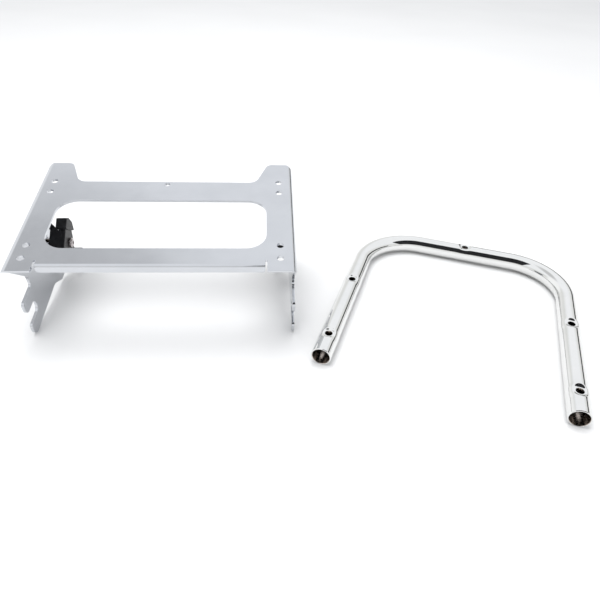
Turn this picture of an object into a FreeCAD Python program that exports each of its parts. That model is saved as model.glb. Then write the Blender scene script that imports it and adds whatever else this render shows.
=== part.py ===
import FreeCAD, Part
import Sketcher
import math
import os

# Trunk rack for a motorcycle: a folded sheet rack plate with two spring
# latches, and the bent support tube that lies beside it.

V3 = FreeCAD.Vector
doc = FreeCAD.newDocument("trunk_rack")
sheet = doc.addObject("Spreadsheet::Sheet", "Sheet")

VALUES = [
    # rack plate, folded sheet
    ("plate_half", 145.0), ("plate_inner", 142.0), ("sheet_thick", 3.0),
    ("plate_front", 11.3), ("plate_rear", 174.0), ("plate_depth", 185.3),
    ("blank_drop", 134.0), ("fold_outer", 7.0), ("fold_inner", 4.0),
    ("cut_far", 160.0), ("cut_run", 320.0), ("cut_front", 24.0),
    ("cut_rear", 200.0), ("cut_low", 150.0),
    # side plate outline, distances behind (y) and below (z) the fold line
    ("toe_z", 2.2), ("toe_y", 9.4),
    ("slant_y", 27.5), ("slant_z", 46.0), ("recess_z", 58.8),
    ("prong_a_y", 2.5), ("slot_top", 74.3), ("slot_y", 22.0),
    ("slot_low", 90.0), ("prong_b_y", 4.5), ("prong_low", 107.0),
    ("belly_y", 76.0), ("belly_z", 105.2), ("land_y", 96.0), ("land_z", 118.4),
    ("notch_front", 113.5), ("notch_root", 98.0), ("notch_rear", 128.5),
    ("foot_z", 130.9), ("foot_rear", 147.0), ("rear_mid", 100.0),
    ("waist_y", 121.0), ("waist_low", 60.0), ("waist_top", 43.0),
    ("ear_y", 165.0), ("ear_z", 9.0), ("ear_end_z", 3.4),
    ("round_recess", 4.0), ("round_slot", 6.5), ("round_prong", 4.0),
    ("round_prong_a", 6.2), ("round_prong_b", 9.0), ("round_foot", 8.9),
    ("round_notch", 7.0), ("round_belly", 12.0), ("round_land", 5.0),
    ("round_heel", 20.0), ("round_front_land", 9.0), ("round_waist", 9.0),
    # top cut-outs
    ("open_half", 114.2), ("open_front", 22.0), ("open_rear", 102.5),
    ("open_round", 22.0), ("mid_rear", 137.0), ("ear_root_x", 101.5),
    ("ear_tip_x", 118.6), ("ear_cut_y", 182.0), ("ear_root_round", 12.0),
    ("ear_tip_round", 8.0), ("ear_corner", 9.0),
    ("top_cut", 1.0), ("top_cut_depth", 5.0), ("corner_cut_depth", 9.0),
    ("lip_half", 113.0), ("relief_half", 115.0), ("relief_y", 4.5),
    ("lip_join", 2.0), ("lip_weld", 3.0), ("lip_out", 4.0), ("lip_in", 1.0),
    ("lip_drop", 9.4), ("lip_width", 226.0), ("lip_round", 3.0),
    # holes
    ("row_half", 128.5), ("hole_a", 7.0), ("hole_b", 26.5), ("hole_c", 117.5),
    ("hole_d", 137.0), ("hole_round", 3.75), ("lug_y", 131.8), ("lug_round", 2.9),
    ("pivot_y", 107.3), ("pivot_z", 67.5), ("pivot_round", 3.1),
    ("stop_y", 89.04), ("stop_z", 54.44), ("stop_round", 2.5),
    ("tool_y", 97.0), ("tool_z", 49.5), ("tool_round", 2.6),
    ("anchor_y", 124.5), ("anchor_z", 84.5), ("anchor_round", 1.2),
    # latch lever: a bent sheet with a sloped web on top and one flange
    ("flange_out", 125.0), ("lever_thick", 3.0),
    ("web_y", 88.7), ("web_z", 57.8), ("web_tilt", 30.612),
    ("web_in", 122.0), ("web_out", 139.5), ("web_front", 7.8), ("web_rear", 33.7),
    ("tab_x", 132.3), ("vee_x", 129.5), ("vee_s", 20.1),
    ("tooth_x", 141.4), ("tooth_s", 31.8), ("tooth_low", 22.2), ("web_step", 21.8),
    ("la_y", 81.986), ("la_z", 61.772), ("lb_y", 117.702), ("lb_z", 40.638),
    ("lc_y", 122.4), ("lc_z", 44.5), ("ld_y", 124.5), ("ld_z", 52.5),
    ("le_y", 121.9), ("le_z", 62.0), ("lf_y", 118.6), ("lf_z", 75.2),
    ("lg_y", 112.5), ("lg_z", 80.0), ("lh_y", 136.0), ("lh_z", 101.0),
    ("li_y", 138.3), ("li_z", 109.0), ("lj_y", 134.3), ("hook_low", 120.0),
    ("tip_y", 112.0), ("hook_top", 113.4), ("throat_y", 128.3), ("throat_z", 102.2),
    ("lk_y", 108.0), ("lk_z", 84.4), ("ll_y", 97.5), ("ll_z", 77.0),
    ("lm_y", 86.0), ("lm_z", 71.5),
    ("bore_round", 4.25), ("toe_hole_y", 91.0), ("toe_hole_z", 66.5), ("toe_hole_round", 1.2),
    ("lever_edge", 2.0), ("lever_big", 6.0), ("lever_mid", 3.5), ("lever_bend", 1.2),
    # thumb cap over the rear end of the lever
    ("cap_out", 133.3), ("cap_wide", 12.3), ("cap_lift", 1.0),
    ("ca_y", 107.64), ("ca_z", 45.44), ("cb_y", 118.2), ("cb_z", 39.2),
    ("cc_y", 124.0), ("cc_z", 43.2), ("cd_y", 129.0), ("cd_z", 53.0),
    ("ce_y", 127.3), ("ce_z", 64.9), ("cf_y", 118.5), ("cf_z", 58.4),
    ("cg_y", 111.1), ("cg_z", 50.8),
    ("slot_out", 132.4), ("slot_in", 121.92), ("slot_front", 14.0), ("slot_rear", 33.8),
    ("wing_out", 134.0), ("wing_rear", 24.4),
    ("slot_lift", 0.06), ("slot_deep", 3.12), ("wall_out", 125.06), ("wall_thick", 3.14),
    ("wa_y", 105.0), ("wa_z", 48.04), ("wb_y", 117.75), ("wb_z", 40.50),
    ("wc_y", 122.53), ("wc_z", 44.44), ("wd_y", 124.65), ("wd_z", 52.5),
    ("we_y", 121.7), ("we_z", 64.5), ("wf_y", 106.0), ("wf_z", 62.0),
    ("cap_round", 3.0), ("cap_edge", 1.0),
    # pivot parts
    ("bush_round", 4.2), ("bush_bore", 3.05), ("bush_long", 20.4),
    ("washer_round", 9.0), ("washer_bore", 4.3), ("washer_thick", 0.8),
    ("bolt_round", 3.0), ("head_round", 5.8), ("head_low", 2.0),
    ("head_tall", 3.4), ("head_face", 3.6), ("head_seat", 121.6),
    ("shank_long", 25.8), ("key_round", 2.3), ("key_deep", 1.9),
    ("nut_round", 6.2), ("nut_tall", 2.5), ("nut_flange", 7.4),
    ("flange_tall", 1.0), ("flange_edge", 0.8),
    ("stop_head", 4.2), ("stop_head_tall", 1.7), ("stop_shank", 7.0),
    # torsion spring
    ("wire", 0.9), ("leg_wire", 0.85), ("end_wire", 0.8), ("coil_round", 6.7),
    ("coil_out", 134.6), ("coil_in", 128.8), ("coil_turns", 2.0), ("bend_bead", 1.2),
    ("end_a", 121.2), ("end_b", 144.4),
    # support tube
    ("tube_round", 11.11), ("tube_bore", 9.46), ("leg_half", 128.5),
    ("bend_round", 68.2), ("leg_straight", 200.3), ("leg_end", 268.5),
    ("bend_x", 60.3), ("seat_a", 238.6), ("seat_b", 128.1),
    ("dent_round", 11.0), ("dent_deep", 2.4), ("dent_back", 12.6),
    ("bolt_hole", 4.25), ("tube_top", 22.22),
    # where the two pieces lie on the ground
    ("rack_x", -174.86), ("rack_y", -36.7), ("rack_z", 104.655), ("rack_tilt", 10.195),
    ("tube_x", 210.56), ("tube_y", 131.91), ("tube_yaw", -20.54),
]
V = {}
for i, (name, value) in enumerate(VALUES):
    row = i + 1
    sheet.set("A%d" % row, name)
    sheet.set("B%d" % row, "%.6g" % value)
    sheet.setAlias("B%d" % row, name)
    V[name] = float("%.6g" % value)
doc.recompute()


def pos(name):
    return ("Sheet." + name, V[name])


def neg(name):
    return ("-Sheet." + name, -V[name])


ZERO = ("0", 0.0)


def plane(body, role):
    for feature in body.Origin.OriginFeatures:
        if feature.Role == role:
            return feature
    raise ValueError(role)


def new_body(label):
    body = doc.addObject("PartDesign::Body", label)
    body.Label = label
    return body


def new_sketch(body, name, role, offset=None):
    sk = body.newObject("Sketcher::SketchObject", name)
    sk.AttachmentSupport = (plane(body, role), [""])
    sk.MapMode = "FlatFace"
    if offset is not None:
        sk.AttachmentOffset = FreeCAD.Placement(V3(0, 0, offset[1]), FreeCAD.Rotation())
        sk.setExpression("AttachmentOffset.Base.z", offset[0])
    return sk


def fix(sk, geo, point, u, v):
    for kind, axis, (text, value) in (("DistanceX", -2, u), ("DistanceY", -1, v)):
        if abs(value) < 1e-9:
            sk.addConstraint(Sketcher.Constraint("PointOnObject", geo, point, axis))
        elif value > 0:
            k = sk.addConstraint(Sketcher.Constraint(kind, -1, 1, geo, point, value))
            sk.setExpression("Constraints[%d]" % k, text)
        else:
            k = sk.addConstraint(Sketcher.Constraint(kind, geo, point, -1, 1, -value))
            sk.setExpression("Constraints[%d]" % k, "-(" + text + ")")


def add_loop(sk, pts):
    n = len(pts)
    ids = []
    for i in range(n):
        a, b = pts[i], pts[(i + 1) % n]
        ids.append(sk.addGeometry(Part.LineSegment(V3(a[0][1], a[1][1], 0), V3(b[0][1], b[1][1], 0)), False))
    for i in range(n):
        sk.addConstraint(Sketcher.Constraint("Coincident", ids[i], 2, ids[(i + 1) % n], 1))
    for i in range(n):
        fix(sk, ids[i], 1, pts[i][0], pts[i][1])


def add_circle(sk, u, v, r):
    g = sk.addGeometry(Part.Circle(V3(u[1], v[1], 0), V3(0, 0, 1), r[1]), False)
    fix(sk, g, 3, u, v)
    k = sk.addConstraint(Sketcher.Constraint("Radius", g, r[1]))
    sk.setExpression("Constraints[%d]" % k, r[0])


def feature(body, kind, name, sk, length=None, reverse=False):
    f = body.newObject("PartDesign::" + kind, name)
    f.Profile = sk
    if length is not None:
        f.Length = length[1]
        f.setExpression("Length", length[0])
    f.Reversed = reverse
    doc.recompute()
    return f


def edges_along(shape, axis, spots, tol=0.05):
    """Names of the straight edges that run along one axis through given spots."""
    i, j = [k for k in range(3) if k != axis]
    out = []
    for n, e in enumerate(shape.Edges):
        if len(e.Vertexes) != 2:
            continue
        a, b = e.Vertexes[0].Point, e.Vertexes[1].Point
        if abs(a[i] - b[i]) > tol or abs(a[j] - b[j]) > tol or abs(a[axis] - b[axis]) < 0.2:
            continue
        for s in spots:
            if abs(a[i] - s[0]) < tol and abs(a[j] - s[1]) < tol:
                out.append("Edge%d" % (n + 1))
    return out


def fillet(body, name, base, edges, radius):
    f = body.newObject("PartDesign::Fillet", name)
    f.Base = (base, edges)
    f.Radius = V[radius]
    f.setExpression("Radius", "Sheet." + radius)
    doc.recompute()
    return f


def place_rack(obj):
    obj.Placement = FreeCAD.Placement(V3(V["rack_x"], V["rack_y"], V["rack_z"]),
                                      FreeCAD.Rotation(V3(1, 0, 0), V["rack_tilt"]))
    obj.setExpression("Placement.Base.x", "Sheet.rack_x")
    obj.setExpression("Placement.Base.y", "Sheet.rack_y")
    obj.setExpression("Placement.Base.z", "Sheet.rack_z")


# ---------------------------------------------------------------- rack plate
rack = new_body("rack_plate")
sk = new_sketch(rack, "rack_section", "XZ_Plane", neg("plate_rear"))
add_loop(sk, [(neg("plate_half"), ZERO), (pos("plate_half"), ZERO),
              (pos("plate_half"), neg("blank_drop")), (pos("plate_inner"), neg("blank_drop")),
              (pos("plate_inner"), neg("sheet_thick")), (neg("plate_inner"), neg("sheet_thick")),
              (neg("plate_inner"), neg("blank_drop")), (neg("plate_half"), neg("blank_drop"))])
tip = feature(rack, "Pad", "rack_channel", sk, pos("plate_depth"))
tip = fillet(rack, "fold_outside", tip,
             edges_along(tip.Shape, 1, [(V["plate_half"], 0), (-V["plate_half"], 0)]), "fold_outer")
tip = fillet(rack, "fold_inside", tip,
             edges_along(tip.Shape, 1, [(V["plate_inner"], -V["sheet_thick"]),
                                        (-V["plate_inner"], -V["sheet_thick"])]), "fold_inner")

# outline of the two side plates: slanted nose, front slot with its two prongs,
# belly, rear notch, rear foot
sk = new_sketch(rack, "side_outline", "YZ_Plane", pos("cut_far"))
side = [("-cut_front", "toe_z"), ("-toe_y", "toe_z"), ("slant_y", "slant_z"), ("slant_y", "recess_z"),
        ("-prong_a_y", "recess_z"), ("-prong_a_y", "slot_top"), ("slot_y", "slot_top"),
        ("slot_y", "slot_low"), ("-prong_b_y", "slot_low"), ("-prong_b_y", "prong_low"),
        ("belly_y", "belly_z"), ("land_y", "land_z"), ("notch_front", "land_z"),
        ("notch_front", "notch_root"), ("notch_rear", "notch_root"), ("notch_rear", "foot_z"),
        ("foot_rear", "foot_z"), ("foot_rear", "rear_mid"), ("waist_y", "waist_low"),
        ("waist_y", "waist_top"), ("ear_y", "ear_z"),
        ("plate_rear", "ear_end_z"), ("cut_rear", "ear_end_z"), ("cut_rear", "cut_low"),
        ("-cut_front", "cut_low")]


def yz(names):
    out = []
    for a, b in names:
        out.append((neg(a[1:]) if a[0] == "-" else pos(a), neg(b)))
    return out


add_loop(sk, yz(side))
tip = feature(rack, "Pocket", "side_cut", sk, pos("cut_run"))


def spots(names):
    return [(u[1], v[1]) for u, v in yz(names)]


for name, where, radius in (
        ("slot_rounds", [("slot_y", "slot_top"), ("slot_y", "slot_low")], "round_slot"),
        ("recess_rounds", [("slant_y", "recess_z")], "round_recess"),
        ("prong_rounds", [("-prong_a_y", "recess_z"), ("-prong_b_y", "slot_low")], "round_prong"),
        ("prong_a_rounds", [("-prong_a_y", "slot_top")], "round_prong_a"),
        ("prong_b_rounds", [("-prong_b_y", "prong_low")], "round_prong_b"),
        ("belly_rounds", [("belly_y", "belly_z")], "round_belly"),
        ("heel_rounds", [("foot_rear", "rear_mid")], "round_heel"),
        ("waist_rounds", [("waist_y", "waist_low"), ("waist_y", "waist_top")], "round_waist"),
        ("front_land_rounds", [("land_y", "land_z")], "round_front_land"),
        ("land_rounds", [("notch_front", "land_z")], "round_land"),
        ("notch_rounds", [("notch_front", "notch_root"), ("notch_rear", "notch_root")], "round_notch"),
        ("foot_rounds", [("notch_rear", "foot_z"), ("foot_rear", "foot_z")], "round_foot")):
    tip = fillet(rack, name, tip, edges_along(tip.Shape, 0, spots(where)), radius)

# large opening, gap between the rear ears, room for the front lip
sk = new_sketch(rack, "top_outline", "XY_Plane", pos("top_cut"))
add_loop(sk, [(neg("open_half"), pos("open_front")), (pos("open_half"), pos("open_front")),
              (pos("open_half"), pos("open_rear")), (neg("open_half"), pos("open_rear"))])
add_loop(sk, [(neg("ear_root_x"), pos("mid_rear")), (pos("ear_root_x"), pos("mid_rear")),
              (pos("ear_tip_x"), pos("ear_cut_y")), (neg("ear_tip_x"), pos("ear_cut_y"))])
add_loop(sk, [(neg("relief_half"), neg("cut_front")), (pos("relief_half"), neg("cut_front")),
              (pos("relief_half"), pos("relief_y")), (pos("lip_half"), pos("relief_y")),
              (pos("lip_half"), pos("lip_join")), (neg("lip_half"), pos("lip_join")),
              (neg("lip_half"), pos("relief_y")), (neg("relief_half"), pos("relief_y"))])
for sx in (pos, neg):
    for name in ("hole_a", "hole_b", "hole_c", "hole_d"):
        add_circle(sk, sx("row_half"), pos(name), pos("hole_round"))
add_circle(sk, ZERO, pos("lug_y"), pos("lug_round"))
tip = feature(rack, "Pocket", "top_cut_out", sk, pos("top_cut_depth"))
oh, of_, orr = V["open_half"], V["open_front"], V["open_rear"]
tip = fillet(rack, "opening_rounds", tip,
             edges_along(tip.Shape, 2, [(oh, of_), (-oh, of_), (oh, orr), (-oh, orr)]), "open_round")
tip = fillet(rack, "ear_root_rounds", tip,
             edges_along(tip.Shape, 2, [(V["ear_root_x"], V["mid_rear"]),
                                        (-V["ear_root_x"], V["mid_rear"])]), "ear_root_round")
slope = (V["ear_tip_x"] - V["ear_root_x"]) / (V["ear_cut_y"] - V["mid_rear"])
tip_x = V["ear_root_x"] + slope * (V["plate_rear"] - V["mid_rear"])
tip = fillet(rack, "ear_tip_rounds", tip,
             edges_along(tip.Shape, 2, [(tip_x, V["plate_rear"]), (-tip_x, V["plate_rear"])]), "ear_tip_round")

# rounded outer corners of the ears
sk = new_sketch(rack, "ear_corners", "XY_Plane", pos("top_cut"))
r = V["ear_corner"]
for s in (1, -1):
    cx, cy = s * (V["plate_half"] - r), V["plate_rear"] - r
    a0, a1 = (0.0, math.pi / 2) if s > 0 else (math.pi / 2, math.pi)
    g = [sk.addGeometry(Part.ArcOfCircle(Part.Circle(V3(cx, cy, 0), V3(0, 0, 1), r), a0, a1), False)]
    edge = s * V["plate_half"]
    p = [V3(edge, cy, 0), V3(edge + s * 6, cy, 0), V3(edge + s * 6, V["plate_rear"] + 6, 0),
         V3(cx, V["plate_rear"] + 6, 0), V3(cx, V["plate_rear"], 0)]
    for i in range(4):
        g.append(sk.addGeometry(Part.LineSegment(p[i], p[i + 1]), False))
    for k in g:
        sk.addConstraint(Sketcher.Constraint("Block", k))
tip = feature(rack, "Pocket", "ear_corner_cut", sk, pos("corner_cut_depth"))

# front lip, folded down between the two corner tabs
sk = new_sketch(rack, "lip_section", "YZ_Plane", neg("lip_half"))
add_loop(sk, [(pos("lip_weld"), ZERO), (neg("lip_out"), ZERO), (neg("lip_out"), neg("lip_drop")),
              (neg("lip_in"), neg("lip_drop")), (neg("lip_in"), neg("sheet_thick")),
              (pos("lip_weld"), neg("sheet_thick"))])
tip = feature(rack, "Pad", "front_lip", sk, pos("lip_width"))
tip = fillet(rack, "lip_fold", tip, edges_along(tip.Shape, 0, [(-V["lip_out"], 0.0)]), "lip_out")
tip = fillet(rack, "lip_fold_inside", tip,
             edges_along(tip.Shape, 0, [(-V["lip_in"], -V["sheet_thick"])]), "lip_in")
tip = fillet(rack, "lip_corners", tip,
             edges_along(tip.Shape, 1, [(V["lip_half"], -V["lip_drop"]), (-V["lip_half"], -V["lip_drop"])]),
             "lip_round")

# holes in the side plates for the pivot bolt, the stop pin and the spring end,
# and one spare tooling hole
sk = new_sketch(rack, "side_holes", "YZ_Plane", pos("cut_far"))
add_circle(sk, pos("pivot_y"), neg("pivot_z"), pos("pivot_round"))
add_circle(sk, pos("stop_y"), neg("stop_z"), pos("stop_round"))
add_circle(sk, pos("tool_y"), neg("tool_z"), pos("tool_round"))
add_circle(sk, pos("anchor_y"), neg("anchor_z"), pos("anchor_round"))
tip = feature(rack, "Pocket", "side_bores", sk, pos("cut_run"))
rack.Tip = tip
place_rack(rack)

# ---------------------------------------------------------------- latch lever
def web_sketch(body, name, lift=None):
    """A sketch in the sloped plane of the lever web: across the rack, and up along the web."""
    sk = body.newObject("Sketcher::SketchObject", name)
    sk.AttachmentSupport = (plane(body, "XY_Plane"), [""])
    sk.MapMode = "FlatFace"
    up = V[lift] if lift else 0.0
    a = math.radians(V["web_tilt"])
    sk.AttachmentOffset = FreeCAD.Placement(
        V3(0, V["web_y"] - up * math.sin(a), -V["web_z"] + up * math.cos(a)),
        FreeCAD.Rotation(V3(1, 0, 0), V["web_tilt"]))
    if not lift:
        sk.setExpression("AttachmentOffset.Base.y", "Sheet.web_y")
        sk.setExpression("AttachmentOffset.Base.z", "-Sheet.web_z")
    return sk


def edges_near(shape, points, tol=0.35):
    """Names of the edges whose middle lies at one of the points."""
    out = []
    for n, e in enumerate(shape.Edges):
        m = e.valueAt((e.FirstParameter + e.LastParameter) / 2)
        if any((m - V3(*p)).Length < tol for p in points):
            out.append("Edge%d" % (n + 1))
    return out


lever = new_body("latch_lever_left")
sk = new_sketch(lever, "flange_outline", "YZ_Plane", neg("flange_out"))
add_loop(sk, yz([("la_y", "la_z"), ("lb_y", "lb_z"), ("lc_y", "lc_z"), ("ld_y", "ld_z"), ("le_y", "le_z"),
                 ("lf_y", "lf_z"), ("lg_y", "lg_z"), ("lh_y", "lh_z"), ("li_y", "li_z"), ("lj_y", "hook_low"),
                 ("tip_y", "hook_low"), ("tip_y", "hook_top"), ("throat_y", "hook_top"),
                 ("throat_y", "throat_z"), ("lk_y", "lk_z"), ("ll_y", "ll_z"), ("lm_y", "lm_z")]))
tip = feature(lever, "Pad", "lever_flange", sk, pos("lever_thick"))
for name, where, radius in (
        ("flange_big_rounds", [("lf_y", "lf_z"), ("lk_y", "lk_z"), ("lj_y", "hook_low"), ("li_y", "li_z")], "lever_big"),
        ("flange_mid_rounds", [("lc_y", "lc_z"), ("ld_y", "ld_z"), ("lh_y", "lh_z"), ("lg_y", "lg_z"),
                               ("throat_y", "hook_top"), ("throat_y", "throat_z"), ("lm_y", "lm_z"),
                               ("ll_y", "ll_z")], "lever_mid"),
        ("flange_end_rounds", [("tip_y", "hook_low"), ("tip_y", "hook_top")], "lever_edge")):
    tip = fillet(lever, name, tip, edges_along(tip.Shape, 0, spots(where)), radius)
sk = web_sketch(lever, "web_outline")
add_loop(sk, [(neg("web_in"), neg("web_front")), (neg("web_in"), pos("web_rear")),
              (neg("tab_x"), pos("web_rear")), (neg("vee_x"), pos("vee_s")),
              (neg("tooth_x"), pos("tooth_s")), (neg("tooth_x"), pos("tooth_low")),
              (neg("web_out"), pos("web_step")), (neg("web_out"), neg("web_front"))])
tip = feature(lever, "Pad", "lever_web", sk, pos("lever_thick"), True)
sk = new_sketch(lever, "lever_bores", "YZ_Plane", pos("cut_far"))
add_circle(sk, pos("pivot_y"), neg("pivot_z"), pos("bore_round"))
add_circle(sk, pos("toe_hole_y"), neg("toe_hole_z"), pos("toe_hole_round"))
tip = feature(lever, "Pocket", "pivot_bore", sk, pos("cut_run"))
wa = math.radians(V["web_tilt"])


def on_web(x, s, down=0.0):
    return (x, V["web_y"] + s * math.cos(wa) + down * math.sin(wa),
            -V["web_z"] + s * math.sin(wa) - down * math.cos(wa))


half = V["lever_thick"] / 2
tip = fillet(lever, "tab_corner", tip,
             edges_near(tip.Shape, [on_web(-V["tab_x"], V["web_rear"], half),
                                    on_web(-V["web_out"], -V["web_front"], half)]), "lever_edge")
tip = fillet(lever, "bend_round", tip,
             edges_near(tip.Shape, [on_web(-V["web_in"], (V["web_rear"] - V["web_front"]) / 2)], 2.5), "lever_bend")
lever.Tip = tip
place_rack(lever)

# thumb cap pushed over the rear end of the lever
cap = new_body("latch_thumb_cap_left")
sk = new_sketch(cap, "cap_outline", "YZ_Plane", neg("cap_out"))
add_loop(sk, yz([("ca_y", "ca_z"), ("cb_y", "cb_z"), ("cc_y", "cc_z"), ("cd_y", "cd_z"), ("ce_y", "ce_z"),
                 ("cf_y", "cf_z"), ("cg_y", "cg_z")]))
tip = feature(cap, "Pad", "cap_block", sk, pos("cap_wide"))
tip = fillet(cap, "cap_rounds", tip,
             edges_along(tip.Shape, 0, spots([("cc_y", "cc_z"), ("cd_y", "cd_z"), ("cf_y", "cf_z"),
                                              ("cg_y", "cg_z")])), "cap_round")
tip = fillet(cap, "cap_end_rounds", tip,
             edges_along(tip.Shape, 0, spots([("cb_y", "cb_z"), ("ce_y", "ce_z")])), "cap_edge")
sk = web_sketch(cap, "cap_web_slot", "slot_lift")
add_loop(sk, [(neg("wing_out"), pos("slot_front")), (neg("slot_in"), pos("slot_front")),
              (neg("slot_in"), pos("slot_rear")), (neg("slot_out"), pos("slot_rear")),
              (neg("slot_out"), pos("wing_rear")), (neg("wing_out"), pos("wing_rear"))])
tip = feature(cap, "Pocket", "cap_web_socket", sk, pos("slot_deep"))
sk = new_sketch(cap, "cap_flange_slot", "YZ_Plane", neg("wall_out"))
add_loop(sk, yz([("wa_y", "wa_z"), ("wb_y", "wb_z"), ("wc_y", "wc_z"), ("wd_y", "wd_z"), ("we_y", "we_z"),
                 ("wf_y", "wf_z")]))
tip = feature(cap, "Pocket", "cap_flange_socket", sk, pos("wall_thick"), True)
cap.Tip = tip
place_rack(cap)

# ---------------------------------------------------------------- pivot parts
def ring(label, start, length, outer, bore):
    b = new_body(label)
    s = new_sketch(b, label + "_section", "YZ_Plane", neg(start))
    add_circle(s, pos("pivot_y"), neg("pivot_z"), pos(outer))
    add_circle(s, pos("pivot_y"), neg("pivot_z"), pos(bore))
    b.Tip = feature(b, "Pad", label + "_ring", s, pos(length))
    place_rack(b)
    return b


bush = ring("latch_bush_left", "plate_inner", "bush_long", "bush_round", "bush_bore")
washer = ring("latch_washer_left", "plate_inner", "washer_thick", "washer_round", "washer_bore")


def cyl(name, radius, height, x, y, z):
    c = doc.addObject("Part::Cylinder", name)
    c.setExpression("Radius", "Sheet." + radius)
    c.setExpression("Height", height)
    c.Placement = FreeCAD.Placement(V3(x, y, z), FreeCAD.Rotation(V3(0, 1, 0), 90))
    return c


py, pz = V["pivot_y"], -V["pivot_z"]
seat = -V["head_seat"]
shank = cyl("bolt_shank", "bolt_round", "Sheet.shank_long", seat - V["shank_long"], py, pz)
rim = cyl("bolt_rim", "head_round", "Sheet.head_low", seat, py, pz)
dome = doc.addObject("Part::Cone", "bolt_dome")
dome.setExpression("Radius1", "Sheet.head_round")
dome.setExpression("Radius2", "Sheet.head_face")
dome.setExpression("Height", "Sheet.head_tall - Sheet.head_low")
dome.Placement = FreeCAD.Placement(V3(seat + V["head_low"], py, pz), FreeCAD.Rotation(V3(0, 1, 0), 90))
key = doc.addObject("Part::Prism", "bolt_key")
key.Polygon = 6
key.setExpression("Circumradius", "Sheet.key_round")
key.setExpression("Height", "Sheet.key_deep")
key.Placement = FreeCAD.Placement(V3(seat + V["head_tall"] - V["key_deep"] + 0.01, py, pz), FreeCAD.Rotation(V3(0, 1, 0), 90))
solid = doc.addObject("Part::MultiFuse", "bolt_solid")
solid.Shapes = [shank, rim, dome]
bolt = doc.addObject("Part::Cut", "latch_pivot_bolt_left")
bolt.Base, bolt.Tool = solid, key
bolt.Label = "latch_pivot_bolt_left"
doc.recompute()
place_rack(bolt)

face = -V["plate_half"]
nut_hex = doc.addObject("Part::Prism", "nut_hex")
nut_hex.Polygon = 6
nut_hex.setExpression("Circumradius", "Sheet.nut_round")
nut_hex.setExpression("Height", "Sheet.nut_tall")
nut_hex.Placement = FreeCAD.Placement(V3(face, py, pz), FreeCAD.Rotation(V3(0, 1, 0), -90))
nut_flange = doc.addObject("Part::Cone", "nut_flange_part")
nut_flange.setExpression("Radius1", "Sheet.nut_flange")
nut_flange.setExpression("Radius2", "Sheet.nut_flange - Sheet.flange_edge")
nut_flange.setExpression("Height", "Sheet.flange_tall")
nut_flange.Placement = FreeCAD.Placement(V3(face, py, pz), FreeCAD.Rotation(V3(0, 1, 0), -90))
nut_solid = doc.addObject("Part::Fuse", "nut_solid")
nut_solid.Base, nut_solid.Tool = nut_hex, nut_flange
nut_bore = cyl("nut_bore", "bolt_round", "Sheet.nut_tall + 2", face - V["nut_tall"] - 1, py, pz)
nut = doc.addObject("Part::Cut", "latch_nut_left")
nut.Base, nut.Tool = nut_solid, nut_bore
nut.Label = "latch_nut_left"
doc.recompute()
place_rack(nut)

# stop pin: riveted through the side plate, the lever rests against it
sy, sz = V["stop_y"], -V["stop_z"]
pin_shank = cyl("pin_shank", "stop_round", "Sheet.stop_shank", -V["plate_half"], sy, sz)
pin_head = doc.addObject("Part::Cone", "pin_head")
pin_head.setExpression("Radius1", "Sheet.stop_head")
pin_head.setExpression("Radius2", "Sheet.stop_round")
pin_head.setExpression("Height", "Sheet.stop_head_tall")
pin_head.Placement = FreeCAD.Placement(V3(-V["plate_half"], sy, sz), FreeCAD.Rotation(V3(0, 1, 0), -90))
pin = doc.addObject("Part::Fuse", "latch_stop_pin_left")
pin.Base, pin.Tool = pin_shank, pin_head
pin.Label = "latch_stop_pin_left"
doc.recompute()
place_rack(pin)

# ---------------------------------------------------------------- spring
cr, wr = V["coil_round"], V["wire"]


def tangent(ey, ez, turn):
    """Angle at which a leg that ends at (ey, ez) leaves the coil."""
    dy, dz = ey - py, ez - pz
    return math.atan2(dz, dy) + turn * math.acos(cr / math.hypot(dy, dz))


# one leg hooks into the lever flange, the other into the side plate
ang_a = tangent(V["anchor_y"], -V["anchor_z"], 1)
ang_b = tangent(V["toe_hole_y"], -V["toe_hole_z"], -1)
sweep = (ang_b - ang_a) % (2 * math.pi) + V["coil_turns"] * (2 * math.pi)
turns = sweep / (2 * math.pi)
x_a, x_b = -V["coil_out"], -V["coil_in"]
pitch = (x_b - x_a) / turns
line = Part.makeHelix(pitch, x_b - x_a, cr)
# the helix rises along +Z from +X: turned so that it runs along +X from ang_a
axes = FreeCAD.Matrix(0, 0, 1, 0, 1, 0, 0, 0, 0, 1, 0, 0, 0, 0, 0, 1)
turn = FreeCAD.Placement(V3(x_a, py, pz), FreeCAD.Rotation(V3(1, 0, 0), math.degrees(ang_a)).multiply(
    FreeCAD.Placement(axes).Rotation))
line.Placement = turn
path = Part.Wire(line.Edges)
first = path.Edges[0]
p0 = first.valueAt(first.FirstParameter)
t0 = first.tangentAt(first.FirstParameter)
prof = Part.Wire([Part.makeCircle(wr, p0, t0)])
coil_shape = path.makePipeShell([prof], True, True)


def on_coil(angle, x):
    return V3(x, py + cr * math.cos(angle), pz + cr * math.sin(angle))


def rod(a, b, radius):
    d = b - a
    return Part.makeCylinder(radius, d.Length, a, d)


ta, tb = on_coil(ang_a, x_a), on_coil(ang_b, x_b)
ea = V3(x_a, V["anchor_y"], -V["anchor_z"])
eb = V3(x_b, V["toe_hole_y"], -V["toe_hole_z"])
lw, ew = V["leg_wire"], V["end_wire"]
leg_a = rod(ta + (ea - ta).normalize() * 0.3, ea, lw)
leg_b = rod(tb + (eb - tb).normalize() * 0.3, eb, lw)
end_a = rod(V3(x_a - 0.3, ea.y, ea.z), V3(-V["end_b"], ea.y, ea.z), ew)
end_b = rod(V3(x_b + 0.3, eb.y, eb.z), V3(-V["end_a"], eb.y, eb.z), ew)
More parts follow.
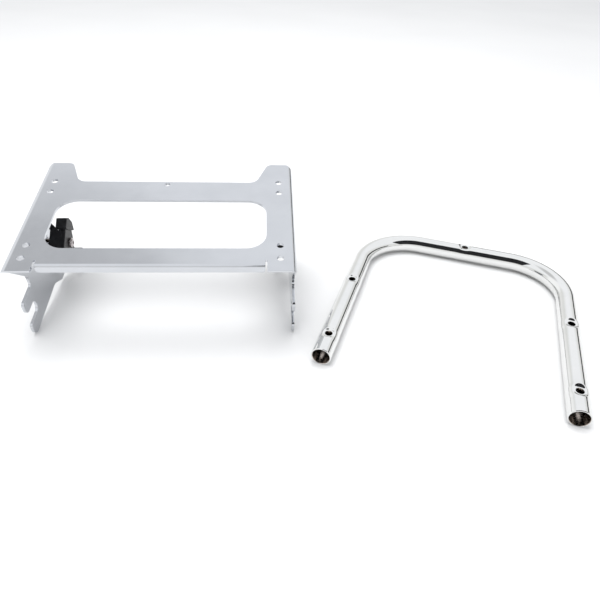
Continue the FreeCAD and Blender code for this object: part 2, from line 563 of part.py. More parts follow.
# a small round bead at each bend of the wire
beads = [Part.makeSphere(V["bend_bead"], q) for q in (ta, tb, ea, eb)]
spring = doc.addObject("Part::Feature", "latch_spring_left")
spring.Shape = coil_shape.multiFuse([leg_a, leg_b, end_a, end_b] + beads)
spring.Label = "latch_spring_left"
place_rack(spring)

# ---------------------------------------------------------------- right side
left = [("latch_lever", lever), ("latch_thumb_cap", cap), ("latch_bush", bush), ("latch_washer", washer),
        ("latch_pivot_bolt", bolt), ("latch_nut", nut), ("latch_stop_pin", pin), ("latch_spring", spring)]
nodes = [rack]
doc.recompute()
for name, source in left:
    m = doc.addObject("Part::Mirroring", name + "_right")
    m.Source = source
    m.Normal = V3(1, 0, 0)
    m.Base = V3(V["rack_x"], 0, 0)
    m.setExpression("Base.x", "Sheet.rack_x")
    m.Label = name + "_right"
    nodes += [source, m]

# ---------------------------------------------------------------- support tube
path_sk = doc.addObject("Sketcher::SketchObject", "tube_path")
path_sk.Placement = FreeCAD.Placement(V3(0, 0, V["tube_round"]), FreeCAD.Rotation())
path_sk.setExpression("Placement.Base.z", "Sheet.tube_round")
a, b, R, E = V["leg_half"], V["bend_x"], V["bend_round"], V["leg_end"]
g0 = path_sk.addGeometry(Part.LineSegment(V3(-a, -E, 0), V3(-a, -R, 0)), False)
g1 = path_sk.addGeometry(Part.ArcOfCircle(Part.Circle(V3(-b, -R, 0), V3(0, 0, 1), R), math.pi / 2, math.pi), False)
g2 = path_sk.addGeometry(Part.LineSegment(V3(-b, 0, 0), V3(b, 0, 0)), False)
g3 = path_sk.addGeometry(Part.ArcOfCircle(Part.Circle(V3(b, -R, 0), V3(0, 0, 1), R), 0, math.pi / 2), False)
g4 = path_sk.addGeometry(Part.LineSegment(V3(a, -R, 0), V3(a, -E, 0)), False)
for c in (("Tangent", g0, 2, g1, 2), ("Tangent", g1, 1, g2, 1), ("Tangent", g2, 2, g3, 2), ("Tangent", g3, 1, g4, 1)):
    path_sk.addConstraint(Sketcher.Constraint(*c))
path_sk.addConstraint(Sketcher.Constraint("Horizontal", g2))
fix(path_sk, g0, 1, neg("leg_half"), neg("leg_end"))
fix(path_sk, g4, 2, pos("leg_half"), neg("leg_end"))
for g in (g1, g3):
    k = path_sk.addConstraint(Sketcher.Constraint("Radius", g, R))
    path_sk.setExpression("Constraints[%d]" % k, "Sheet.bend_round")
path_sk.addConstraint(Sketcher.Constraint("PointOnObject", g2, 1, -1))
doc.recompute()


def swept(name, radius):
    c = doc.addObject("Part::Circle", name + "_round")
    c.setExpression("Radius", "Sheet." + radius)
    c.Placement = FreeCAD.Placement(V3(-a, -E, V["tube_round"]), FreeCAD.Rotation(V3(1, 0, 0), 90))
    s = doc.addObject("Part::Sweep", name)
    s.Sections = [c]
    s.Spine = (path_sk, ["Edge1", "Edge2", "Edge3", "Edge4", "Edge5"])
    s.Solid = True
    s.Frenet = False
    return s


skin = swept("tube_skin", "tube_round")
core = swept("tube_core", "tube_bore")
seats = [(-a, -V["seat_a"]), (-a, -V["seat_b"]), (a, -V["seat_a"]), (a, -V["seat_b"]), (0.0, 0.0)]
dents, backs, drills = [], [], []
for i, (x, y) in enumerate(seats):
    zc = V["tube_top"] - V["dent_deep"] + V["dent_round"]
    for group, name, radius in ((dents, "dent", "dent_round"), (backs, "dent_back", "dent_back")):
        s = doc.addObject("Part::Sphere", "%s_%d" % (name, i))
        s.setExpression("Radius", "Sheet." + radius)
        s.Placement = FreeCAD.Placement(V3(x, y, zc), FreeCAD.Rotation())
        group.append(s)
    d = doc.addObject("Part::Cylinder", "drill_%d" % i)
    d.setExpression("Radius", "Sheet.bolt_hole")
    d.setExpression("Height", "Sheet.tube_top + 4")
    d.Placement = FreeCAD.Placement(V3(x, y, -2), FreeCAD.Rotation())
    drills.append(d)


def fused(name, items):
    f = doc.addObject("Part::MultiFuse", name)
    f.Shapes = items
    return f


def cut(name, base, tool):
    c = doc.addObject("Part::Cut", name)
    c.Base, c.Tool = base, tool
    return c


dented = cut("tube_dented", skin, fused("dent_all", dents))
bore = cut("tube_bore_dented", core, fused("dent_back_all", backs))
hollow = cut("tube_hollow", dented, bore)
tube = cut("support_tube", hollow, fused("drill_all", drills))
tube.Label = "support_tube"
doc.recompute()
tube.Placement = FreeCAD.Placement(V3(V["tube_x"], V["tube_y"], 0), FreeCAD.Rotation(V3(0, 0, 1), V["tube_yaw"]))
tube.setExpression("Placement.Base.x", "Sheet.tube_x")
tube.setExpression("Placement.Base.y", "Sheet.tube_y")
nodes.append(tube)

doc.recompute()
bad = []
for obj in doc.Objects:
    if "Invalid" in obj.State or "Error" in obj.State:
        bad.append(obj.Name + " " + ",".join(obj.State))
for obj in nodes:
    if obj.Shape.isNull() or not obj.Shape.isValid() or len(obj.Shape.Solids) != 1:
        bad.append(obj.Label + " shape %d solids" % len(obj.Shape.Solids))
if bad:
    raise RuntimeError("; ".join(bad))

os.makedirs("parts", exist_ok=True)
for obj in nodes:
    obj.Shape.exportStep("parts/%s.step" % obj.Label)
    box = obj.Shape.BoundBox
    print("%-26s %9.1f mm3  x %.2f %.2f  y %.2f %.2f  z %.2f %.2f" % (
        obj.Label, obj.Shape.Volume, box.XMin, box.XMax, box.YMin, box.YMax, box.ZMin, box.ZMax))
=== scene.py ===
import math

import bmesh
import bpy
import numpy as np
from mathutils import Matrix, Vector


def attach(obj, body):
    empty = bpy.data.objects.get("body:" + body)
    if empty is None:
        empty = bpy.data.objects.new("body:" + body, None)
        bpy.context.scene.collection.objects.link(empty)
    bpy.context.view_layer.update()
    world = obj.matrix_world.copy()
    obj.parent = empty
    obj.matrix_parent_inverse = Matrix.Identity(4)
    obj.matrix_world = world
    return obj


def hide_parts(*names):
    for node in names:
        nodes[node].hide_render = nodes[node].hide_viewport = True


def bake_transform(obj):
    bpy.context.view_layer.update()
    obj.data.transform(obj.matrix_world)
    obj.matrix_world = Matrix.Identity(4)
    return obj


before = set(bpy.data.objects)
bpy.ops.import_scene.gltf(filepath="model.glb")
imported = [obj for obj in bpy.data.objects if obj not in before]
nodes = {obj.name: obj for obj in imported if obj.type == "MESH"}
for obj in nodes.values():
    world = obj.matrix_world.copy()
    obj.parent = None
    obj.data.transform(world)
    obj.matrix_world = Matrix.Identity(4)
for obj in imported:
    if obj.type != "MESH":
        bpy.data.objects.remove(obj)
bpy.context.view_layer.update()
scene = bpy.context.scene
MM = 0.001


# ---------------------------------------------------------------- materials
def material(name):
    mat = bpy.data.materials.new(name)
    mat.use_nodes = True
    tree = mat.node_tree
    tree.nodes.clear()
    out = tree.nodes.new("ShaderNodeOutputMaterial")
    bsdf = tree.nodes.new("ShaderNodeBsdfPrincipled")
    tree.links.new(bsdf.outputs[0], out.inputs[0])
    return mat, tree, bsdf


def coords(tree, scale=(1, 1, 1), rotation=(0, 0, 0)):
    tex = tree.nodes.new("ShaderNodeTexCoord")
    mapping = tree.nodes.new("ShaderNodeMapping")
    mapping.inputs["Scale"].default_value = scale
    mapping.inputs["Rotation"].default_value = rotation
    tree.links.new(tex.outputs["Object"], mapping.inputs["Vector"])
    return mapping.outputs["Vector"]


def noise(tree, vector, scale, detail=3.0, rough=0.5):
    n = tree.nodes.new("ShaderNodeTexNoise")
    n.inputs["Scale"].default_value = scale
    n.inputs["Detail"].default_value = detail
    n.inputs["Roughness"].default_value = rough
    tree.links.new(vector, n.inputs["Vector"])
    return n.outputs["Fac"]


def spread(tree, value, low, high, lo_in=0.3, hi_in=0.7):
    n = tree.nodes.new("ShaderNodeMapRange")
    n.inputs["From Min"].default_value = lo_in
    n.inputs["From Max"].default_value = hi_in
    n.inputs["To Min"].default_value = low
    n.inputs["To Max"].default_value = high
    tree.links.new(value, n.inputs["Value"])
    return n.outputs["Result"]


def ramp(tree, value, stops):
    n = tree.nodes.new("ShaderNodeValToRGB")
    el = n.color_ramp.elements
    while len(el) < len(stops):
        el.new(0.5)
    for e, (p, c) in zip(el, stops):
        e.position = p
        e.color = (*c, 1)
    tree.links.new(value, n.inputs["Fac"])
    return n.outputs["Color"]


def bump(tree, value, strength, distance, normal=None):
    n = tree.nodes.new("ShaderNodeBump")
    n.inputs["Strength"].default_value = strength
    n.inputs["Distance"].default_value = distance
    tree.links.new(value, n.inputs["Height"])
    if normal is not None:
        tree.links.new(normal, n.inputs["Normal"])
    return n.outputs["Normal"]


def metal(name, dark, light, rough, wave, grain, cloud=30.0):
    """Plated or bare metal: cloudy colour, uneven gloss, slow waviness and a fine grain."""
    mat, tree, bsdf = material(name)
    bsdf.inputs["Metallic"].default_value = 1.0
    vec = coords(tree)
    tree.links.new(
        ramp(tree, noise(tree, vec, cloud, 4.0, 0.55), [(0.3, dark), (0.7, light)]),
        bsdf.inputs["Base Color"],
    )
    tree.links.new(
        spread(tree, noise(tree, vec, cloud * 4.5, 5.0, 0.6), rough[0], rough[1]),
        bsdf.inputs["Roughness"],
    )
    slow = bump(tree, noise(tree, vec, wave[0], 2.0, 0.4), wave[1], wave[2])
    fine = bump(tree, noise(tree, vec, grain[0], 3.0, 0.6), grain[1], grain[2], slow)
    tree.links.new(fine, bsdf.inputs["Normal"])
    return mat


def coated(name, dark, light, rough, grain, specular=0.5):
    """Black coating: faint mottling, orange-peel bump and uneven gloss."""
    mat, tree, bsdf = material(name)
    bsdf.inputs["Metallic"].default_value = 0.0
    bsdf.inputs["Specular IOR Level"].default_value = specular
    vec = coords(tree)
    tree.links.new(
        ramp(tree, noise(tree, vec, 140.0, 4.0, 0.6), [(0.3, dark), (0.7, light)]),
        bsdf.inputs["Base Color"],
    )
    tree.links.new(
        spread(tree, noise(tree, vec, 420.0, 4.0, 0.6), rough[0], rough[1]),
        bsdf.inputs["Roughness"],
    )
    peel = bump(tree, noise(tree, vec, grain[0], 2.0, 0.5), grain[1], grain[2])
    tree.links.new(peel, bsdf.inputs["Normal"])
    return mat


plate_chrome = metal(
    "plate_chrome",
    (0.575, 0.590, 0.617),
    (0.615, 0.630, 0.657),
    (0.10, 0.17),
    (9.0, 0.10, 0.004),
    (1400.0, 0.03, 0.0002),
)
tube_chrome = metal(
    "tube_chrome",
    (0.75, 0.755, 0.745),
    (0.80, 0.80, 0.79),
    (0.03, 0.06),
    (22.0, 0.05, 0.0015),
    (1800.0, 0.015, 0.0001),
)
tube_raw = metal(
    "tube_raw_bore",
    (0.40, 0.350, 0.310),
    (0.62, 0.550, 0.500),
    (0.16, 0.30),
    (60.0, 0.10, 0.001),
    (900.0, 0.20, 0.0003),
    90.0,
)
latch_black = coated(
    "latch_black",
    (0.004, 0.004, 0.005),
    (0.010, 0.010, 0.011),
    (0.30, 0.44),
    (900.0, 0.12, 0.0003),
    0.28,
)
thumb_cap = coated(
    "thumb_cap",
    (0.010, 0.010, 0.011),
    (0.018, 0.018, 0.019),
    (0.36, 0.50),
    (1300.0, 0.18, 0.0003),
    0.30,
)
bush_bronze = metal(
    "bush_bronze",
    (0.26, 0.21, 0.15),
    (0.36, 0.29, 0.21),
    (0.28, 0.42),
    (80.0, 0.06, 0.0006),
    (1500.0, 0.08, 0.0002),
    120.0,
)
washer_steel = metal(
    "washer_steel",
    (0.50, 0.50, 0.51),
    (0.62, 0.62, 0.62),
    (0.24, 0.36),
    (80.0, 0.05, 0.0005),
    (1500.0, 0.08, 0.0002),
    150.0,
)
bolt_steel = metal(
    "bolt_steel",
    (0.47, 0.43, 0.425),
    (0.59, 0.545, 0.54),
    (0.20, 0.32),
    (80.0, 0.05, 0.0005),
    (1500.0, 0.08, 0.0002),
    150.0,
)
nut_steel = metal(
    "nut_steel",
    (0.52, 0.52, 0.52),
    (0.64, 0.64, 0.63),
    (0.22, 0.34),
    (80.0, 0.05, 0.0005),
    (1500.0, 0.08, 0.0002),
    150.0,
)
spring_steel = metal(
    "spring_steel",
    (0.50, 0.46, 0.45),
    (0.70, 0.66, 0.65),
    (0.20, 0.34),
    (200.0, 0.05, 0.0003),
    (2500.0, 0.10, 0.0001),
    300.0,
)
pin_steel = metal(
    "pin_steel",
    (0.50, 0.50, 0.51),
    (0.62, 0.62, 0.63),
    (0.20, 0.30),
    (80.0, 0.05, 0.0005),
    (1500.0, 0.08, 0.0002),
    150.0,
)

FINISH = {
    "rack_plate": plate_chrome,
    "support_tube": tube_chrome,
    "latch_lever": latch_black,
    "latch_thumb_cap": thumb_cap,
    "latch_bush": bush_bronze,
    "latch_washer": washer_steel,
    "latch_pivot_bolt": bolt_steel,
    "latch_nut": nut_steel,
    "latch_spring": spring_steel,
    "latch_stop_pin": pin_steel,
}
for name, obj in nodes.items():
    finish = FINISH[name.replace("_left", "").replace("_right", "")]
    if obj.material_slots:
        for s in obj.material_slots:
            s.material = finish
    else:
        obj.data.materials.append(finish)


# ---------------------------------------------------------------- mesh tools
def mesh_object(name, verts, faces, mats, smooth_angle=40.0):
    mesh = bpy.data.meshes.new(name)
    mesh.from_pydata([tuple(v) for v in verts], [], faces)
    for m in mats:
        mesh.materials.append(m)
    mesh.validate()
    mesh.update()
    obj = bpy.data.objects.new(name, mesh)
    scene.collection.objects.link(obj)
    shade(mesh, smooth_angle)
    return obj


def shade(mesh, angle):
    mesh.polygons.foreach_set("use_smooth", [True] * len(mesh.polygons))
    mesh.set_sharp_from_angle(angle=math.radians(angle))
    mesh.update()


def applied(obj):
    """The object's mesh with its modifiers worked in, so none is left on the piece."""
    deps = bpy.context.evaluated_depsgraph_get()
    mesh = bpy.data.meshes.new_from_object(obj.evaluated_get(deps))
    obj.modifiers.clear()
    old = obj.data
    obj.data = mesh
    bpy.data.meshes.remove(old)
    mesh.name = obj.name
    return obj


# ---------------------------------------------------------------- plate, levers and caps
TILT = math.radians(10.195)
rack_place = (
    Matrix.Translation((-174.86 * MM, -36.7 * MM, 104.655 * MM))
    @ Matrix.Rotation(TILT, 4, "X")
)
TOE = (91.0, -66.5)
PLATE_HOLE = (124.5, -84.5)


def softened(name, source, finish, width, chosen=None, segments=2):
    """A copy of a CAD node with its sharp edges rounded; chosen gives each edge's share of the width."""
    bm = bmesh.new()
    bm.from_mesh(source.data)
    bm.transform(source.matrix_world)
    bmesh.ops.remove_doubles(bm, verts=bm.verts, dist=2e-6)
    bmesh.ops.dissolve_limit(
        bm,
        angle_limit=math.radians(0.3),
        use_dissolve_boundaries=False,
        verts=bm.verts,
        edges=bm.edges,
        delimit=set(),
    )
    if chosen is not None:
        share = bm.edges.layers.float.new("bevel_weight_edge")
        for edge, value in chosen(bm):
            edge[share] = value
    mesh = bpy.data.meshes.new(name)
    bm.to_mesh(mesh)
    bm.free()
    mesh.materials.clear()
    mesh.materials.append(finish)
    mesh.polygons.foreach_set("material_index", [0] * len(mesh.polygons))
    shade(mesh, 40.0)
    obj = bpy.data.objects.new(name, mesh)
    scene.collection.objects.link(obj)
    bevel = obj.modifiers.new("edge", "BEVEL")
    bevel.width = width * MM
    bevel.segments = segments
    if chosen is None:
        bevel.limit_method = "ANGLE"
        bevel.angle_limit = math.radians(50)
    else:
        bevel.limit_method = "WEIGHT"
    bevel.use_clamp_overlap = False
    weigh = obj.modifiers.new("flat", "WEIGHTED_NORMAL")
    weigh.mode = "FACE_AREA"
    weigh.weight = 100
    weigh.keep_sharp = False
    bpy.context.view_layer.update()
    return applied(obj)


def apart_from(hole):
    """Chooses the sharp edges, apart from those of the spring's small hole."""
    local = rack_place.inverted()

    def chosen(bm):
        out = []
        for e in bm.edges:
            if len(e.link_faces) == 2 and e.calc_face_angle() > math.radians(50):
                mid = local @ ((e.verts[0].co + e.verts[1].co) / 2)
                if math.hypot(mid.y / MM - hole[0], mid.z / MM - hole[1]) > 2.0:
                    out.append((e, 1.0))
        return out

    return chosen


def cap_edges(bm):
    """The cap's outer edges, not those of its sockets."""
    pts = np.array([v.co[:] for v in bm.verts])
    outer = set()
    for f in bm.faces:
        n = np.array(f.normal[:])
        if (pts @ n - np.dot(n, f.verts[0].co[:])).max() < 2e-5:
            outer.add(f)
    return [
        (e, 1.0)
        for e in bm.edges
        if len(e.link_faces) == 2
        and all(f in outer for f in e.link_faces)
        and e.calc_face_angle() > math.radians(40)
    ]


plate = softened("rack_plate_edged", nodes["rack_plate"], plate_chrome, 0.15, apart_from(PLATE_HOLE))
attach(plate, "rack")
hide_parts("rack_plate")
for side in ("left", "right"):
    lever = softened(
        "latch_lever_edged_" + side,
        nodes["latch_lever_" + side],
        latch_black,
        0.2,
        apart_from(TOE),
    )
    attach(lever, "latch_" + side)
    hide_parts("latch_lever_" + side)
    cap = softened(
        "latch_thumb_cap_edged_" + side,
        nodes["latch_thumb_cap_" + side],
        thumb_cap,
        0.8,
        cap_edges,
        3,
    )
    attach(cap, "latch_" + side)
    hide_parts("latch_thumb_cap_" + side)


# ---------------------------------------------------------------- support tube
TUBE_HALF = 128.5
TUBE_BEND = 68.2
TUBE_END = 268.5
TUBE_R = 11.11
BORE_R = 9.46
DENT = 2.4
HOLE_R = 4.25
SEATS = [
    (-TUBE_HALF, -238.6),
    (-TUBE_HALF, -128.1),
    (0.0, 0.0),
    (TUBE_HALF, -128.1),
    (TUBE_HALF, -238.6),
]
tube_place = Matrix.Translation((210.56 * MM, 131.91 * MM, TUBE_R * MM)) @ Matrix.Rotation(
    math.radians(-20.54), 4, "Z"
)


def smoothstep(a, b, x):
    t = np.clip((x - a) / (b - a), 0, 1)
    return t * t * (3 - 2 * t)


def tube_path():
    """Stations along the centre line: x, y and the direction of travel, closer together at the seats."""
    leg = TUBE_END - TUBE_BEND
    arc = TUBE_BEND * math.pi / 2
    bar = 2 * (TUBE_HALF - TUBE_BEND)
    ends = np.cumsum([0, leg, arc, bar, arc, leg])
    seat_s = [
        TUBE_END - 238.6,
        TUBE_END - 128.1,
        leg + arc + bar / 2,
        ends[4] + 128.1 - TUBE_BEND,
        ends[4] + 238.6 - TUBE_BEND,
    ]
    stations = [0.0]
    while stations[-1] < ends[5] - 1e-6:
        s = stations[-1]
        near = min(abs(s - q) for q in seat_s)
        in_arc = ends[1] - 2 < s < ends[2] + 2 or ends[3] - 2 < s < ends[4] + 2
        step = 0.7 if near < 14 else (1.9 if in_arc else 3.0)
        nxt = s + step
        for q in ends[1:]:
            if s < q - 1e-6 < nxt:
                nxt = q
        stations.append(min(nxt, ends[5]))
    rows = []
    for s in stations:
        if s <= ends[1]:
            rows.append((-TUBE_HALF, -TUBE_END + s, math.pi / 2))
        elif s <= ends[2]:
            t = (s - ends[1]) / TUBE_BEND
            rows.append(
                (
                    -(TUBE_HALF - TUBE_BEND) - TUBE_BEND * math.cos(t),
                    -TUBE_BEND + TUBE_BEND * math.sin(t),
                    math.pi / 2 - t,
                )
            )
        elif s <= ends[3]:
            rows.append((-(TUBE_HALF - TUBE_BEND) + s - ends[2], 0.0, 0.0))
        elif s <= ends[4]:
            t = (s - ends[3]) / TUBE_BEND
            rows.append(
                (
                    TUBE_HALF - TUBE_BEND + TUBE_BEND * math.sin(t),
                    -TUBE_BEND + TUBE_BEND * math.cos(t),
                    -t,
                )
            )
        else:
            rows.append((TUBE_HALF, -TUBE_BEND - (s - ends[4]), -math.pi / 2))
    return np.array(rows)


def pressed(points, top):
    """Pushes the tube's top in at each bolt seat, as a press tool leaves it, with a slight spread at the sides."""
    p = points.copy()
    for sx, sy in SEATS:
        flat = np.hypot(p[:, 0] - sx, p[:, 1] - sy)
        w = 1 - smoothstep(4.9, 9.2, flat)
        over = p[:, 2] - top
        soft = 0.5 * (over + np.sqrt(over * over + 0.25))
        soft = np.where(p[:, 2] > 0, soft, 0) * (p[:, 2] > 2.0)
        p[:, 2] -= w * soft
        along_x = abs(sx) < 1
        run = np.abs(p[:, 0] - sx) if along_x else np.abs(p[:, 1] - sy)
        side = p[:, 1] - sy if along_x else p[:, 0] - sx
        here = np.abs(side) < TUBE_R + 1
        swell = 1 + 0.035 * (1 - smoothstep(3.0, 11.0, run)) * smoothstep(
            -6.0, 3.0, p[:, 2]
        )
        if along_x:
            p[:, 1] = np.where(here, sy + side * swell, p[:, 1])
        else:
            p[:, 0] = np.where(here, sx + side * swell, p[:, 0])
    return p


def build_tube():
    path = tube_path()
    around = 96
    phi = np.arange(around) * 2 * math.pi / around
    n = len(path)
    cx, cy, th = path[:, 0:1], path[:, 1:2], path[:, 2:3]
    nx, ny = np.sin(th), -np.cos(th)

    def ring(rows, radius):
        x = rows[:, 0:1] + np.sin(rows[:, 2:3]) * radius * np.cos(phi)
        y = rows[:, 1:2] - np.cos(rows[:, 2:3]) * radius * np.cos(phi)
        z = np.repeat(radius * np.sin(phi)[None, :], len(rows), 0)
        return np.stack([x, y, z], 2).reshape(-1, 3)

    # the cut ends are broken by a small round on the outer and inner rims
    first, last = path[0].copy(), path[-1].copy()
    lead = np.repeat(path[:1], 1, 0)
    inner_rows = path
    outer = pressed(ring(path, TUBE_R), TUBE_R - DENT)
    inner = pressed(ring(inner_rows, BORE_R), BORE_R - DENT)
    break_r = 0.45
    for block, sign in ((outer, -1.0), (inner, 1.0)):
        for i0, radius in ((0, 0), (n - 1, 0)):
            rows = slice(i0 * around, (i0 + 1) * around)
            centre = np.array([path[i0, 0], path[i0, 1], 0.0])
            out = block[rows] - centre
            length = np.linalg.norm(out, axis=1, keepdims=True)
            block[rows] = centre + out * (1 + sign * break_r / length)
    # the second station of each end stands where the round begins
    for block in (outer, inner):
        for i1, i0 in ((1, 0), (n - 2, n - 1)):
            rows = slice(i1 * around, (i1 + 1) * around)
            step = path[i0, :2] - path[i1, :2]
            move = step * (1 - break_r / np.linalg.norm(step))
            block[rows, 0] += move[0]
            block[rows, 1] += move[1]
    verts = np.concatenate([outer, inner]) * MM
    faces, mats = [], []
    base = n * around
    for i in range(n - 1):
        for j in range(around):
            k = (j + 1) % around
            a, b = i * around + j, i * around + k
            c, d = (i + 1) * around + k, (i + 1) * around + j
            faces.append((a, d, c, b))
            mats.append(0)
            faces.append((base + a, base + b, base + c, base + d))
            mats.append(1)
    for j in range(around):
        k = (j + 1) % around
        faces.append((j, k, base + k, base + j))
        mats.append(0)
        e = (n - 1) * around
        faces.append((e + k, e + j, base + e + j, base + e + k))
        mats.append(0)
    obj = mesh_object("support_tube_bent", verts, faces, [tube_chrome, tube_raw])
    obj.data.polygons.foreach_set("material_index", mats)

    # drilled seats, through both walls
    cutter = bpy.data.meshes.new("tube_drill")
    bm = bmesh.new()
    for sx, sy in SEATS:
        bmesh.ops.create_cone(
            bm,
            cap_ends=True,
            segments=56,
            radius1=HOLE_R * MM,
            radius2=HOLE_R * MM,
            depth=30 * MM,
            matrix=Matrix.Translation((sx * MM, sy * MM, 0)),
        )
    bm.to_mesh(cutter)
    bm.free()
    tool = bpy.data.objects.new("tube_drill", cutter)
    scene.collection.objects.link(tool)
    cut = obj.modifiers.new("drill", "BOOLEAN")
    cut.operation = "DIFFERENCE"
    cut.solver = "EXACT"
    cut.object = tool
    bpy.context.view_layer.update()
    applied(obj)
    bpy.data.objects.remove(tool)
    bpy.data.meshes.remove(cutter)
    shade(obj.data, 38.0)
    obj.data.transform(tube_place)
    obj.data.update()
    return obj


tube = build_tube()
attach(tube, "rack")
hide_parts("support_tube")


# ---------------------------------------------------------------- latch springs
PIVOT = (107.3, -67.5)
COIL_R = 6.7
WIRE_R = 0.9
COIL_OUT = -134.6
COIL_IN = -128.8
TOE_END = -121.2
PLATE_END = -144.4


def sweep(name, points, radius, sides=14):
    """A round wire through close points, with rounded-off closed ends."""
    p = np.array(points, float)
    t = np.gradient(p, axis=0)
    t /= np.linalg.norm(t, axis=1, keepdims=True)
    u = np.cross(t[0], (0.3, 0.5, 0.81))
    u /= np.linalg.norm(u)
    rows, radii, centres, dirs = [], [], [], []
    frames = []
    for i in range(len(p)):
        u = u - t[i] * np.dot(u, t[i])
        u /= np.linalg.norm(u)
        frames.append((u.copy(), np.cross(t[i], u)))
    seq = (
        [(0, -0.32, 0.45), (0, -0.22, 0.78), (0, -0.05, 0.97)]
        + [(i, 0.0, 1.0) for i in range(len(p))]
        + [(-1, 0.05, 0.97), (-1, 0.22, 0.78), (-1, 0.32, 0.45)]
    )
    ang = np.arange(sides) * 2 * math.pi / sides
    verts = []
    for i, off, k in seq:
        c = p[i] + t[i] * off * radius
        a, b = frames[i]
        verts.append(
            c + radius * k * (np.cos(ang)[:, None] * a + np.sin(ang)[:, None] * b)
        )
    verts = np.concatenate(verts)
    m = len(seq)
    faces = []
    for i in range(m - 1):
        for j in range(sides):
            k = (j + 1) % sides
            faces.append(
                (i * sides + j, i * sides + k, (i + 1) * sides + k, (i + 1) * sides + j)
            )
    faces.append(tuple(reversed(range(sides))))
    faces.append(tuple((m - 1) * sides + j for j in range(sides)))
    return mesh_object(name, verts * MM, faces, [spring_steel], 60.0)


def corner(a, b, c, radius, steps=8):
    """Points round the bend at b between a and c."""
    a, b, c = (np.array(q, float) for q in (a, b, c))
    u, v = a - b, c - b
    u /= np.linalg.norm(u)
    v /= np.linalg.norm(v)
    half = math.acos(np.clip(np.dot(u, v), -1, 1)) / 2
    cut = radius / math.tan(half)
    mid = u + v
    mid /= np.linalg.norm(mid)
    centre = b + mid * radius / math.sin(half)
    s, e = b + u * cut - centre, b + v * cut - centre
    total = math.acos(np.clip(np.dot(s, e) / radius**2, -1, 1))
    out = []
    for i in range(steps + 1):
        f = i / steps
        out.append(
            centre
            + (math.sin((1 - f) * total) * s + math.sin(f * total) * e) / math.sin(total)
        )
    return out


def line(a, b, step=1.5):
    a, b = np.array(a, float), np.array(b, float)
    count = max(2, int(np.linalg.norm(b - a) / step))
    return [a + (b - a) * i / count for i in range(count + 1)]


def tangent_angle(target, turn):
    """Angle on the coil where a straight leg to the target leaves it."""
    dy, dz = target[0] - PIVOT[0], target[1] - PIVOT[1]
    reach = math.hypot(dy, dz)
    return math.atan2(dz, dy) + turn * math.acos(COIL_R / reach)


def build_spring(side):
    sign = 1.0 if side == "left" else -1.0

    def at(x, y, z):
        return (sign * x, y, z)

    def on_coil(angle, x):
        return at(
            x, PIVOT[0] + COIL_R * math.cos(angle), PIVOT[1] + COIL_R * math.sin(angle)
        )

    start = tangent_angle(PLATE_HOLE, 1.0)
    stop = tangent_angle(TOE, -1.0)
    while stop < start + 2 * math.pi * 2.0:
        stop += 2 * math.pi
    count = 130
    coil = []
    for i in range(count + 1):
        f = i / count
        coil.append(
            on_coil(start + (stop - start) * f, COIL_OUT + (COIL_IN - COIL_OUT) * f)
        )
    first, last = np.array(coil[0]), np.array(coil[-1])
    hole = at(COIL_OUT, *PLATE_HOLE)
    hole_end = at(PLATE_END, *PLATE_HOLE)
    toe = at(COIL_IN, *TOE)
    toe_end = at(TOE_END, *TOE)
    bend_a = corner(hole_end, hole, first, 1.5)
    bend_b = corner(last, toe, toe_end, 1.5)
    wire = line(hole_end, bend_a[0])[:-1] + bend_a + line(bend_a[-1], first)[1:-1]
    wire += coil + line(last, bend_b[0])[1:-1] + bend_b + line(bend_b[-1], toe_end)[1:]
    obj = sweep("latch_spring_wire_" + side, wire, WIRE_R)
    obj.data.transform(rack_place)
    obj.data.update()
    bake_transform(obj)
    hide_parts("latch_spring_" + side)


build_spring("left")
build_spring("right")


# ---------------------------------------------------------------- camera
theta, rho = math.radians(36.976), math.radians(2.277)
forward = Vector((0.07268 * math.cos(theta), 0.99736 * math.cos(theta), -math.sin(theta)))
right0 = Vector((0.99736, -0.07268, 0.0))
up0 = right0.cross(forward)
right_c = math.cos(rho) * right0 + math.sin(rho) * up0
up_c = math.cos(rho) * up0 - math.sin(rho) * right0
cam_data = bpy.data.cameras.new("camera")
cam_data.sensor_fit = "HORIZONTAL"
cam_data.sensor_width = 36.0
cam_data.lens = 32.795
cam_data.clip_start = 0.01
cam_data.clip_end = 50.0
cam = bpy.data.objects.new("camera", cam_data)
scene.collection.objects.link(cam)
cam.matrix_world = Matrix(
    (
        (right_c.x, up_c.x, -forward.x, -0.05920),
        (right_c.y, up_c.y, -forward.y, -0.49807),
        (right_c.z, up_c.z, -forward.z, 0.40625),
        (0, 0, 0, 1),
    )
)
scene.camera = cam

# ---------------------------------------------------------------- floor
floor_mat, tree, bsdf = material("studio_floor")
bsdf.inputs["Specular IOR Level"].default_value = 0.0
vec = coords(tree)
tree.links.new(
    ramp(
        tree,
        noise(tree, vec, 3.0, 2.0),
        [(0.3, (0.70, 0.70, 0.70)), (0.7, (0.72, 0.72, 0.72))],
    ),
    bsdf.inputs["Base Color"],
)
tree.links.new(
    spread(tree, noise(tree, vec, 8.0, 2.0), 0.85, 0.95), bsdf.inputs["Roughness"]
)
R = 7.0
floor = mesh_object(
    "studio_floor", [(-R, -R, 0), (R, -R, 0), (R, R, 0), (-R, R, 0)], [(0, 1, 2, 3)], [floor_mat]
)

# ---------------------------------------------------------------- studio light
world = bpy.data.worlds.new("studio")
scene.world = world
world.use_nodes = True
tree = world.node_tree
tree.nodes.clear()
wout = tree.nodes.new("ShaderNodeOutputWorld")
back = tree.nodes.new("ShaderNodeBackground")
tree.links.new(back.outputs[0], wout.inputs[0])
direction = tree.nodes.new("ShaderNodeTexCoord").outputs["Generated"]


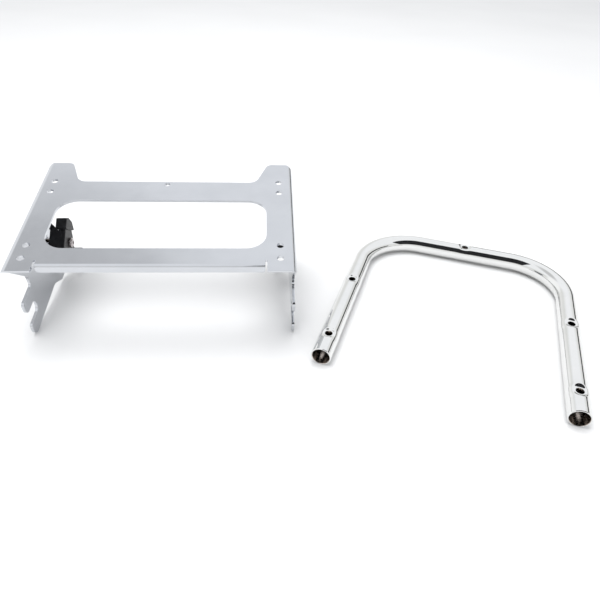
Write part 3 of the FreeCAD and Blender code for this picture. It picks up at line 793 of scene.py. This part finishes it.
def facing(vector, toward):
    n = tree.nodes.new("ShaderNodeVectorMath")
    n.operation = "DOT_PRODUCT"
    n.inputs[1].default_value = Vector(toward).normalized()
    tree.links.new(vector, n.inputs[0])
    return n.outputs["Value"]


def soft_edge(value, a, b, top=1.0):
    n = tree.nodes.new("ShaderNodeMapRange")
    n.interpolation_type = "SMOOTHSTEP"
    n.inputs["From Min"].default_value = a
    n.inputs["From Max"].default_value = b
    n.inputs["To Min"].default_value = 0.0
    n.inputs["To Max"].default_value = top
    tree.links.new(value, n.inputs["Value"])
    return n.outputs["Result"]


def over(below, color, fac):
    n = tree.nodes.new("ShaderNodeMix")
    n.data_type = "RGBA"
    tree.links.new(fac, n.inputs[0])
    tree.links.new(below, n.inputs[6])
    n.inputs[7].default_value = (*color, 1)
    return n.outputs[2]


sky = ramp(
    tree,
    soft_edge(facing(direction, (0, 0, 1)), -0.05, 1.0),
    [
        (0.0, (0.98, 0.98, 0.98)),
        (0.35, (0.86, 0.87, 0.86)),
        (0.62, (1.08, 1.095, 1.13)),
        (1.0, (1.08, 1.095, 1.12)),
    ],
)
# shaded corner up on the left, behind
sky = over(
    sky, (0.40, 0.40, 0.40), soft_edge(facing(direction, (-0.40, 0.42, 0.815)), 0.93, 0.995, 0.60)
)
# lit low wall behind on the left
sky = over(
    sky, (1.12, 1.13, 1.14), soft_edge(facing(direction, (-0.70, 0.70, 0.25)), 0.86, 0.95)
)

tree.links.new(sky, back.inputs["Color"])
back.inputs["Strength"].default_value = 1.0


def area(name, place, aim, size, power, glossy):
    data = bpy.data.lights.new(name, "AREA")
    data.shape = "RECTANGLE"
    data.size, data.size_y = size
    data.energy = power
    obj = bpy.data.objects.new(name, data)
    scene.collection.objects.link(obj)
    obj.location = place
    obj.rotation_euler = (
        (Vector(aim) - Vector(place)).to_track_quat("-Z", "Y").to_euler()
    )
    obj.visible_glossy = glossy
    return obj


area("overhead_softbox", (-0.30, 0.25, 2.0), (0.0, 0.0, 0.0), (1.5, 1.3), 34.0, False)

# two black flags, in front of the tube and low on the right: only shine sees them
flag_mat, tree, bsdf = material("studio_flag")
bsdf.inputs["Specular IOR Level"].default_value = 0.0
vec = coords(tree)
tree.links.new(
    ramp(tree, noise(tree, vec, 6.0, 2.0), [(0.3, (0.020, 0.020, 0.022)), (0.7, (0.030, 0.030, 0.032))]),
    bsdf.inputs["Base Color"],
)
tree.links.new(
    spread(tree, noise(tree, vec, 8.0, 2.0), 0.85, 0.95), bsdf.inputs["Roughness"]
)
flag = mesh_object(
    "studio_flag",
    [(-0.155, -0.30, 0), (0.40, -0.30, 0), (0.40, 0.24, 0), (-0.155, 0.24, 0)],
    [(0, 1, 2, 3)],
    [flag_mat],
)
flag_n = Vector((0.20, 0.67, -0.71)).normalized()
flag_x = Vector((0.9364, -0.3509, 0.0))
flag_x = (flag_x - flag_n * flag_x.dot(flag_n)).normalized()
flag_y = flag_n.cross(flag_x)
flag.data.transform(
    Matrix(
        (
            (flag_x.x, flag_y.x, flag_n.x, 0.2106 - 0.20 * 0.5),
            (flag_x.y, flag_y.y, flag_n.y, 0.1319 - 0.67 * 0.5),
            (flag_x.z, flag_y.z, flag_n.z, 0.0111 + 0.71 * 0.5),
            (0, 0, 0, 1),
        )
    )
)
arc = [math.radians(17.5 + a) for a in range(-48, 49, 4)]
low_flag = mesh_object(
    "studio_low_flag",
    [(4.0 * math.cos(a), 4.0 * math.sin(a), z) for z in (0.5, 1.15) for a in arc],
    [(i, i + 1, len(arc) + i + 1, len(arc) + i) for i in range(len(arc) - 1)],
    [flag_mat],
)
for card in (flag, low_flag):
    card.visible_camera = False
    card.visible_diffuse = False
    card.visible_shadow = False

scene.view_settings.view_transform = "Standard"
scene.view_settings.look = "None"
scene.view_settings.exposure = 0.0
scene.view_settings.gamma = 1.0
